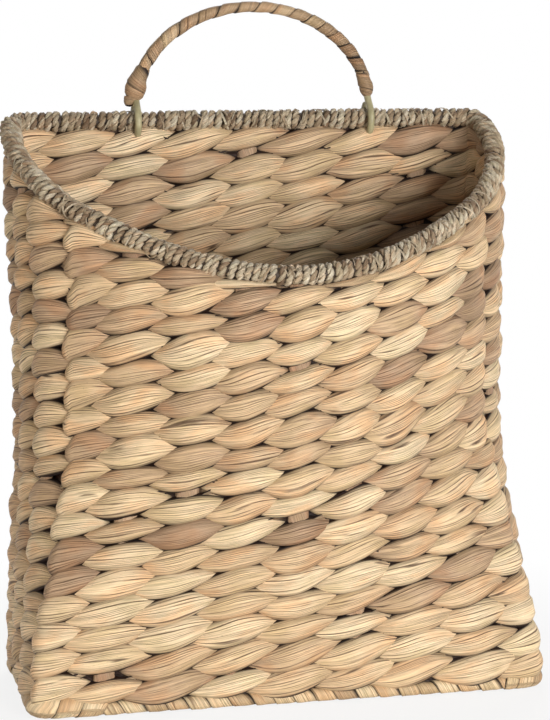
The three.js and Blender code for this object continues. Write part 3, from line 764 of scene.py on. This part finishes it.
def add_posts():
    for name, stitch in POSTS.items():
        top = float(rim_line(np.array(float(stitch)))[2]) - POST_ROOM
        path, along = upright(stitch, BASE_RADIUS + POST_ROOM, top, POST_POINTS)
        _, normal, _ = wall_frame(np.full(POST_POINTS, float(stitch)), path[:, 2], OUTER_ROUND)
        path = path - POST_INSET * normal
        wire_tube(f"wire_post_{name}", path, False, along[0], "basket", [f"corner_post_{name}"])


# Rim: a two ply grass cord wound round the wire

RIM_TURNS = 172
TURN_STEPS = 22
RIM_POINTS = 1600
CORD_RADIUS = 2.1
CORE_RADIUS = 4.4
CORE_SIDES = 10
# Points of the path from one ring of the wire or the core to the next, and to either side for its direction
RIM_WIRE_STEP = 8
CORE_STEP = 5
NEAR_POINTS = 6
# Section of a ply, its distance from the cord's middle and the length of its lay
PLY_THICK = 1.34
PLY_WIDE = 1.8
PLY_SIDES = 9
PLY_OFFSET = 1.02
LAY_LENGTH = 9.0
# Where the back stretch of the binding ends, short of the corners
BACK_LINE = 0.6
BACK_RETURN = 14.0
# Stems that have come loose on the whole rim, and the points at a stretch's end where none starts
LOOSE_STRANDS = 230
STRAND_CLEAR = 140
STRAND_POINTS = 26
STRAND_SIDES = 6
STRAND_THIN = 0.3


def rim_frame(count):
    """Path of the rim with its cross directions, and the points of its two stretches of binding."""
    path, _ = resample(rim_line(np.linspace(0, RING, RIM_POINTS, endpoint=False)), count, True)
    tangent = unit(np.roll(path, -NEAR_POINTS, 0) - np.roll(path, NEAR_POINTS, 0))
    side = unit(np.cross(tangent, np.array([0.0, 0.0, 1.0])))
    straight = (path[:, 1] > -BACK_LINE) & (np.abs(path[:, 0]) < RIM_WIDTH / 2 - BACK_RETURN)
    back = np.nonzero(straight)[0]
    stretches = {
        "rim_binding_back": np.arange(back.min(), back.max() + 1),
        "rim_binding_front": np.concatenate([np.arange(back.max(), count), np.arange(0, back.min() + 1)]),
    }
    return path, tangent, side, np.cross(side, tangent), stretches


def ply(builder, order, axis, offset, tilt, radial, size, run, spin, number):
    """One ply of the cord, lumpy and a little flattened, with painted shade on the side that faces the wire.
    """
    count = len(axis)
    angle = circle(PLY_SIDES)[None, :]
    turn = spin[:, None]
    ridges = 0.13 * np.cos(3 * angle + 5.0 * turn) + 0.07 * np.cos(5 * angle - 2.0 * turn)
    bump = (1 + ridges) * size[:, None]
    ring = (offset[:, None, :] * (PLY_THICK * np.cos(angle) * bump)[..., None]
            + tilt[:, None, :] * (PLY_WIDE * np.sin(angle) * bump)[..., None])
    grain = np.zeros(ring.shape)
    grain[..., 0] = run[:, None] * MM
    grain[..., 1] = angle * 0.5 + 0.3 * turn
    grain[..., 2] = number
    tone = np.clip(0.6 + wander(count, 13, 0.32) + wander(count, 90, 0.12), 0, 1)[:, None]
    outer = np.sum(ring * radial[:, None, :], axis=-1) + np.sum(offset * radial, axis=-1)[:, None]
    painted_shade = smooth(0.35 - 0.45 * outer)
    builder.tube((axis[:, None, :] + ring)[order], grain[order], tone[order], painted_shade=painted_shade[order])


def loose_strand(builder, path, side, top, order):
    """Single stem that has slipped across the turns of the cord."""
    count = STRAND_POINTS
    start = rng.integers(0, len(order) - STRAND_CLEAR)
    steps = rng.uniform(0.35, 1.5) * TURN_STEPS
    at = order[np.clip((start + np.linspace(0, steps * 1.6, count)).astype(int), 0, len(order) - 1)]
    turn = rng.uniform(0, 2 * math.pi) + rng.choice([-1, 1]) * np.linspace(0, rng.uniform(1.6, 3.6), count)
    radial = side[at] * np.cos(turn)[:, None] + top[at] * np.sin(turn)[:, None]
    lift = RIM_RADIUS - 0.25 + 0.25 * np.sin(np.linspace(0, 9, count) + turn[0])
    spine = path[at] + radial * lift[:, None]
    across = unit(np.cross(tangents(spine), radial))
    angle = circle(STRAND_SIDES)[None, :]
    taper = np.sin(np.linspace(0.25, math.pi - 0.25, count))[:, None] ** 0.5
    wide = rng.uniform(0.4, 0.85)
    rings = rings_round(spine, across, radial, wide * taper * np.cos(angle),
                        STRAND_THIN * taper * np.sin(angle))
    grain = np.zeros(rings.shape)
    grain[..., 0] = np.linspace(0, 0.02, count)[:, None]
    grain[..., 1] = angle
    grain[..., 2] = rng.uniform(0, 30)
    builder.tube(rings, grain, np.clip(rng.normal(0.7, 0.22), 0, 1))


def add_rim():
    count = RIM_TURNS * TURN_STEPS
    path, tangent, side, top, stretches = rim_frame(count)
    wire_tube("wire_rim", path[::RIM_WIRE_STEP], True, (0, 0, 1), "basket", ["rim_wire"])
    turn = np.arange(count) / TURN_STEPS
    theta = 2 * math.pi * (turn + wander(count, 2 * TURN_STEPS, 0.10))
    radial = side * np.cos(theta)[:, None] + top * np.sin(theta)[:, None]
    swell = 1 + wander(count, TURN_STEPS, 0.06)
    slip = wander(count, TURN_STEPS // 2, 0.45)
    mid = RIM_RADIUS - CORD_RADIUS
    centre = path + radial * (mid * swell)[:, None] + tangent * slip[:, None]
    run = 2 * math.pi * mid * turn
    lay = run * 2 * math.pi / LAY_LENGTH + wander(count, 2 * TURN_STEPS, 0.9)
    builders = {name: Builder() for name in stretches}
    # Core under the plies, nearly all in the painted shade colour, as shade in the gaps between them
    angle = circle(CORE_SIDES)[None, :]
    core = rings_round(path, side, top, CORE_RADIUS * np.cos(angle), CORE_RADIUS * np.sin(angle))
    for name, order in stretches.items():
        builders[name].tube(core[order[::CORE_STEP]], np.zeros(3), 0.1, painted_shade=0.85)
    for number in (0, 1):
        spin = lay + number * math.pi
        offset = radial * np.cos(spin)[:, None] + tangent * np.sin(spin)[:, None]
        tilt = np.cross(np.cross(tangent, radial), offset)
        size = 1 + wander(count, 17, 0.10)
        axis = centre + offset * (PLY_OFFSET * swell)[:, None]
        for name, order in stretches.items():
            ply(builders[name], order, axis, offset, tilt, radial, size, run, spin, number * 7.3)
    for name, order in stretches.items():
        for _ in range(int(LOOSE_STRANDS * len(order) / count)):
            loose_strand(builders[name], path, side, top, order)
        builders[name].finish(f"cord_{name}", grass, "basket", [name], "cord")


# Strips wound round a wire, each turn lapping over the one before

STRIP_STEPS = 18
STRIP_POINTS = 400
# Round the strip's section: place across, 1 on the outer face, painted shade at lapped seams and inner face
STRIP_ACROSS = np.array([-1, -0.92, -0.6, -0.2, 0.2, 0.6, 0.92, 1.0, 0.5, 0.0, -0.5])
STRIP_OUTER = np.array([0, 1, 1, 1, 1, 1, 1, 0, 0, 0, 0], float)
STRIP_SEAM_SHADE = np.array([0.9, 0.8, 0, 0, 0, 0.8, 0.9, 0.9, 0.9, 0.9, 0.9])
STRIP_SHADE = 0.55
STRIP_SPREAD = 0.24


def wound_strip(builder, path, turns, radius, width, thick, lap,
                slack=0.06, hand=1, first=(0, 0, 1), crowd=0.0, fade=0.0):
    """path is in order of winding; radius is a function of the share of the way along. The turns crowd
    together and the strip grows darker towards the end by the last two numbers."""
    fine, length = resample(path, max(STRIP_POINTS, len(path)))
    one, two = cross_directions(fine, first)
    run = np.linspace(0, length, len(fine))
    count = turns * STRIP_STEPS + 1
    turn = np.arange(count) / STRIP_STEPS
    pitch = length / turns
    t = turn / turns
    half = pitch * (1 + crowd * (1 - 2 * t)) * width / 2
    middle = length * (t + crowd * t * (1 - t))
    middle = np.clip(middle + wander(count, STRIP_STEPS, slack) * half, 0, length)
    a = STRIP_ACROSS
    outer = STRIP_OUTER
    place = np.clip(middle[:, None] + a[None, :] * half[:, None], 0, length)
    line, side, top = (np.stack([np.interp(place, run, v[:, k]) for k in range(3)], axis=-1)
                       for v in (fine, one, two))
    theta = (hand * 2 * math.pi * turn + wander(count, STRIP_STEPS, 0.12))[:, None]
    crown = 0.35 * thick * (1 - a ** 2) + lap * (1 - a) / 2
    plump = 1 + wander(count, STRIP_STEPS // 2, 0.10)
    fold = 0.16 * thick * np.sin(5.0 * a[None, :] + 3 * turn[:, None])
    level = radius(place / length) + (outer * thick + crown + outer * fold) * plump[:, None]
    rings = line + side * (level * np.cos(theta))[..., None] + top * (level * np.sin(theta))[..., None]
    grain = np.zeros(rings.shape)
    grain[..., 0] = (turn * pitch * 2.2)[:, None] * MM
    grain[..., 1] = a[None, :] + 2.4 * (1 - outer)[None, :]
    number = np.floor(turn + 0.3).astype(int)
    grain[..., 2] = (number * 0.61803)[:, None] + rng.uniform(0, 9)
    usual = STRIP_SHADE + fade * (0.5 - np.linspace(0, 1, number.max() + 1))
    tone = np.clip(rng.normal(usual, STRIP_SPREAD), 0, 1)[number][:, None]
    turned = slice(None, None, 1 if hand > 0 else -1)
    builder.tube(rings[:, turned], grain[:, turned], tone, edge=STRIP_SEAM_SHADE[turned][None, :])


# Base: strip along the whole edge, and more of it at the corners

BASE_CORNER = 9.0
BASE_POINTS = 1200
BASE_WIRE_STEP = 6
BASE_TURNS = 66
BASE_CORE = 2.55
CORNER_TURNS = 5
CORNER_CORE = 3.2
CORNER_LIFT = 0.6
# Corner's name, its side and depth, how far the extra strip reaches each way, and how far it swells
BASE_CORNERS = (
    ("front_left", -1, -1, 40, 1.9),
    ("front_right", 1, -1, 22, 0.5),
    ("back_left", -1, 0, 22, 0.7),
    ("back_right", 1, 0, 22, 0.7),
)


def base_path():
    """Closed line of the base wire, from the back left corner round by the front."""
    x = BASE_WIDTH / 2 - BASE_CORNER
    front = -BASE_DEPTH + BASE_CORNER
    centres = ((-x, -BASE_CORNER, 90), (-x, front, 180), (x, front, 270), (x, -BASE_CORNER, 360))
    points = []
    for cx, cy, start in centres:
        for k in range(7):
            t = math.radians(start + 90 * k / 6)
            points.append((cx + BASE_CORNER * math.cos(t), cy + BASE_CORNER * math.sin(t), BASE_RADIUS))
    return resample(np.array(points), BASE_POINTS, True)


def add_corner(path, step, name, side, depth, reach, swell):
    """Extra turns of strip over one corner of the base."""
    def bulge(t):
        return swell * np.sin(math.pi * np.clip(t, 0, 1)) ** 0.4

    target = np.array([side * BASE_WIDTH / 2, depth * BASE_DEPTH, BASE_RADIUS])
    nearest = int(np.argmin(np.linalg.norm(path - target, axis=1)))
    points = int(reach / step)
    line = path[np.arange(nearest - points, nearest + points) % BASE_POINTS]
    line[:, 2] += CORNER_LIFT + bulge(np.linspace(0, 1, len(line)))
    builder = Builder()
    wound_strip(builder, line, CORNER_TURNS, lambda t: CORNER_CORE + bulge(t),
                width=1.4, thick=0.8, lap=0.7, hand=-1)
    builder.finish(f"strip_corner_{name}", edge_leaf, "basket", [], "edge_binding")


def add_base():
    path, length = base_path()
    wire_tube("wire_base", path[::BASE_WIRE_STEP], True, (0, 0, 1), "basket", ["base_wire"])
    builder = Builder()
    wound_strip(builder, np.vstack([path, path[:1]]), BASE_TURNS, lambda t: np.full(t.shape, BASE_CORE),
                width=1.25, thick=0.75, lap=0.85)
    nodes = [f"base_binding_{side}" for side in ("left", "front", "right", "back")]
    builder.finish("strip_base_edge", edge_leaf, "basket", nodes, "edge_binding")
    for corner in BASE_CORNERS:
        add_corner(path, length / BASE_POINTS, *corner)


# Handle

ARCH_LENGTH = 214.0
ARCH_POINTS = 800
HANDLE_TURNS = 16
HANDLE_POINTS = 420
# Distance from the arch's ends at which the wire leaves the eyes
EYE_LEAVE = 3.2
# Shares of the way along the arch: where the winding starts and ends, and what the strip and its knots cover
STRIP_START = 6.0 / ARCH_LENGTH
STRIP_END = 1 - STRIP_START
STRIP_SPAN = (STRIP_START + 0.05, STRIP_END - 0.03)
LEFT_KNOT_SPAN = (STRIP_START - 0.018, STRIP_START + 0.092)
RIGHT_KNOT_SPAN = (STRIP_END + 0.012, STRIP_END - 0.075)
# Turn of the wire round the rim, in degrees from straight up
EYE_START = 25
EYE_END = 308
EYE_POINTS = 44
KNOT_SIDES = 16
# How far the left knot leans outwards, and the way its loose tail goes
KNOT_LEAN = 1.2
TAIL_FROM = np.array([-2.6, -0.3, 2.8])
TAIL_WAY = np.array([-1.2, 0.0, -6.2])
TAIL_RADIUS = 2.6


def arch(first, last, count):
    """Points of the handle's arch between two shares of the way from its left spring to its right one."""
    t = np.linspace(math.pi, 0, ARCH_POINTS)
    height = HANDLE_SPRING + HANDLE_RISE * np.sin(t)
    curve = np.stack([HANDLE_HALF * np.cos(t), np.zeros(ARCH_POINTS), height], axis=1)
    fine, _ = resample(curve, ARCH_POINTS)
    share = np.linspace(first, last, count)
    at = np.linspace(0, 1, ARCH_POINTS)
    line = np.stack([np.interp(share, at, fine[:, k]) for k in range(3)], axis=-1)
    return line + np.array([HANDLE_OFFSET, 0, RIM_HEIGHT])


def handle_path():
    """Line of the handle's wire: an eye round the rim, the arch and the other eye."""
    angle = np.radians(np.linspace(EYE_START, EYE_END, EYE_POINTS))
    eye = np.stack([np.zeros(EYE_POINTS), EYE_RADIUS * np.sin(angle), EYE_RADIUS * np.cos(angle)], axis=1)
    left = eye + np.array([HANDLE_OFFSET - HANDLE_HALF, 0, RIM_HEIGHT])
    right = eye[::-1] + np.array([HANDLE_OFFSET + HANDLE_HALF, 0, RIM_HEIGHT])
    middle = arch(EYE_LEAVE / ARCH_LENGTH, 1 - EYE_LEAVE / ARCH_LENGTH, 140)
    path, _ = resample(np.vstack([left, middle, right]), HANDLE_POINTS)
    for _ in range(6):
        path[1:-1] = (path[:-2] + 2 * path[1:-1] + path[2:]) / 4
    return path


def add_knot(name, path, radius, sleeve, tail=False):
    """Lump of strip where the winding ends: a rounded end with a sleeve of crossing turns above it."""
    def swell(t):
        t = np.clip(t, 0, 1)
        ball = radius * np.sqrt(np.clip(1 - ((t - 0.36) / 0.37) ** 2, 0, 1))
        return np.maximum(ball, sleeve * smooth((1.02 - t) / 0.12) * smooth(t / 0.25)) + 0.1

    builder = Builder()
    one, two = cross_directions(path, (0, 1, 0))
    angle = circle(KNOT_SIDES)[None, :]
    share = np.linspace(0, 1, len(path))[:, None]
    level = swell(share) * (1 + 0.05 * np.sin(2 * angle + 5 * share))
    rings = rings_round(path, one, two, level * np.cos(angle), level * np.sin(angle))
    grain = np.zeros(rings.shape)
    grain[..., 0] = angle * radius * MM
    grain[..., 1] = share * 6
    builder.tube(rings, grain, 0.4)
    wound_strip(builder, path, 2, lambda t: swell(t) - 0.25, width=1.35, thick=0.7, lap=0.7,
                first=(1, 0, 0), hand=-1)
    if tail:
        drop = path[0] + np.linspace(0, 1, 40)[:, None] * TAIL_WAY + TAIL_FROM
        wound_strip(builder, drop, 2, lambda t: TAIL_RADIUS * np.sqrt(np.clip(1.02 - t ** 3, 0, 1)),
                    width=1.4, thick=0.5, lap=0.3, first=(1, 0, 0))
    builder.finish(f"strip_knot_{name}", strip_leaf, "handle", [f"handle_knot_{name}"], "handle_strip")


def add_handle():
    wire_tube("wire_handle", handle_path(), False, (1, 0, 0), "handle", ["handle_wire"])
    builder = Builder()
    wound_strip(builder, arch(*STRIP_SPAN, 300), HANDLE_TURNS, lambda t: 2.5 + 0.3 * np.sin(9 * t),
                width=1.28, thick=0.62, lap=0.75, slack=0.15, hand=-1, first=(0, 1, 0), crowd=0.3, fade=0.5)
    builder.finish("strip_handle", strip_leaf, "handle", ["handle_wrap"], "handle_strip")
    leaning = arch(*LEFT_KNOT_SPAN, 90)
    leaning[:, 0] -= KNOT_LEAN * smooth(np.linspace(1.5, 0, len(leaning)))
    add_knot("left", leaning, radius=5.7, sleeve=4.0, tail=True)
    add_knot("right", arch(*RIGHT_KNOT_SPAN, 80), radius=3.6, sleeve=3.1)


for number in range(COURSES):
    course(number)
for number in range(FLOOR_COURSES):
    floor_course(number)
add_stakes()
add_posts()
add_rim()
add_base()
add_handle()


# Camera at the photograph's angle: place in millimetres, focal length in pixels and turns in radians

CAMERA = np.array([-323.9, -1534.0, 394.0])
FOCAL = 2442.0
PHOTO_HEIGHT = 720.0
SENSOR = 36.0
YAW = 0.219
PITCH = 0.1265
ROLL = -0.006


def add_camera():
    data = bpy.data.cameras.new("camera")
    data.sensor_width = SENSOR
    data.lens = FOCAL * SENSOR / PHOTO_HEIGHT
    data.clip_start = 0.05
    data.clip_end = 50.0
    camera = bpy.data.objects.new("camera", data)
    bpy.context.scene.collection.objects.link(camera)
    level = math.cos(PITCH)
    forward = Vector((math.sin(YAW) * level, math.cos(YAW) * level, -math.sin(PITCH)))
    right = Vector((math.cos(YAW), -math.sin(YAW), 0))
    up = right.cross(forward)
    side = right * math.cos(ROLL) + up * math.sin(ROLL)
    head = up * math.cos(ROLL) - right * math.sin(ROLL)
    turn = Matrix((side, head, -forward)).transposed()
    camera.matrix_world = Matrix.Translation(Vector(CAMERA * MM + ORIGIN)) @ turn.to_4x4()
    bpy.context.scene.camera = camera


# Stage: pale floor and world that show white, and three lamps

AMBIENT = 0.17
FLOOR_HALF = 6.0
FLOOR_DROP = 0.0005
# Share of plain white in the floor, near the basket and further off, by distance in metres
FLOOR_WHITE = [(0.22, 0.84), (0.42, 1.0)]
FILL_COLOUR = (1.0, 0.90, 0.76)


def add_lamp(name, place, target, size, power, colour=(1.0, 1.0, 1.0)):
    data = bpy.data.lights.new(name, "AREA")
    data.shape = "DISK"
    data.size = size
    data.energy = power
    data.color = colour
    lamp = bpy.data.objects.new(name, data)
    bpy.context.scene.collection.objects.link(lamp)
    lamp.location = place
    lamp.rotation_euler = (Vector(target) - Vector(place)).to_track_quat("-Z", "Y").to_euler()


def shown_rays(tree):
    """Output that is 1 for rays that show the background: from the camera, mirrored or let through."""
    path = tree.nodes.new("ShaderNodeLightPath")
    shown = path.outputs["Is Camera Ray"]
    for name in ("Is Glossy Ray", "Is Transmission Ray"):
        either = tree.nodes.new("ShaderNodeMath")
        either.operation = "MAXIMUM"
        tree.links.new(shown, either.inputs[0])
        tree.links.new(path.outputs[name], either.inputs[1])
        shown = either.outputs[0]
    return shown


def floor_material():
    """Pale floor that keeps the basket's shadow and shows as white further off."""
    n = Nodes("pale_floor", 0.9, 0.1)
    n.shader.inputs["Base Color"].default_value = grey(0.95)
    glow = n.tree.nodes.new("ShaderNodeEmission")
    mixer = n.tree.nodes.new("ShaderNodeMixShader")
    far = n.tree.nodes.new("ShaderNodeVectorMath")
    far.operation = "LENGTH"
    n.tree.links.new(n.tree.nodes.new("ShaderNodeNewGeometry").outputs["Position"], far.inputs[0])
    white = n.grey_ramp(far.outputs["Value"], FLOOR_WHITE)
    n.tree.links.new(n.math("MULTIPLY", shown_rays(n.tree), white), mixer.inputs[0])
    n.tree.links.new(n.shader.outputs[0], mixer.inputs[1])
    n.tree.links.new(glow.outputs[0], mixer.inputs[2])
    n.tree.links.new(mixer.outputs[0], n.tree.nodes["Material Output"].inputs["Surface"])
    return n.material


def add_world():
    world = bpy.data.worlds.new("studio")
    bpy.context.scene.world = world
    world.use_nodes = True
    tree = world.node_tree
    strength = tree.nodes.new("ShaderNodeMapRange")
    strength.inputs["To Min"].default_value = AMBIENT
    strength.inputs["To Max"].default_value = 1.0
    tree.links.new(shown_rays(tree), strength.inputs["Value"])
    back = tree.nodes["Background"]
    back.inputs["Color"].default_value = grey(1.0)
    tree.links.new(strength.outputs[0], back.inputs["Strength"])


def add_floor():
    mesh = bpy.data.meshes.new("floor")
    corners = [(x * FLOOR_HALF, y * FLOOR_HALF, 0) for x, y in ((-1, -1), (1, -1), (1, 1), (-1, 1))]
    mesh.from_pydata(corners, [], [(0, 1, 2, 3)])
    mesh.materials.append(floor_material())
    floor = bpy.data.objects.new("floor", mesh)
    bpy.context.scene.collection.objects.link(floor)
    floor.location.z = -FLOOR_DROP


bpy.context.scene.view_settings.view_transform = "Standard"
add_camera()
add_world()
add_floor()
add_lamp("key", (0.70, -2.02, 0.32), (0, 0, 0.10), size=0.9, power=49.5)
add_lamp("fill", (-0.8, -0.5, 0.06), (-0.1, -0.06, 0.10), size=0.5, power=3.1, colour=FILL_COLOUR)
add_lamp("back", (0.3, 1.2, 1.2), (0, 0, 0.25), size=1.0, power=12)
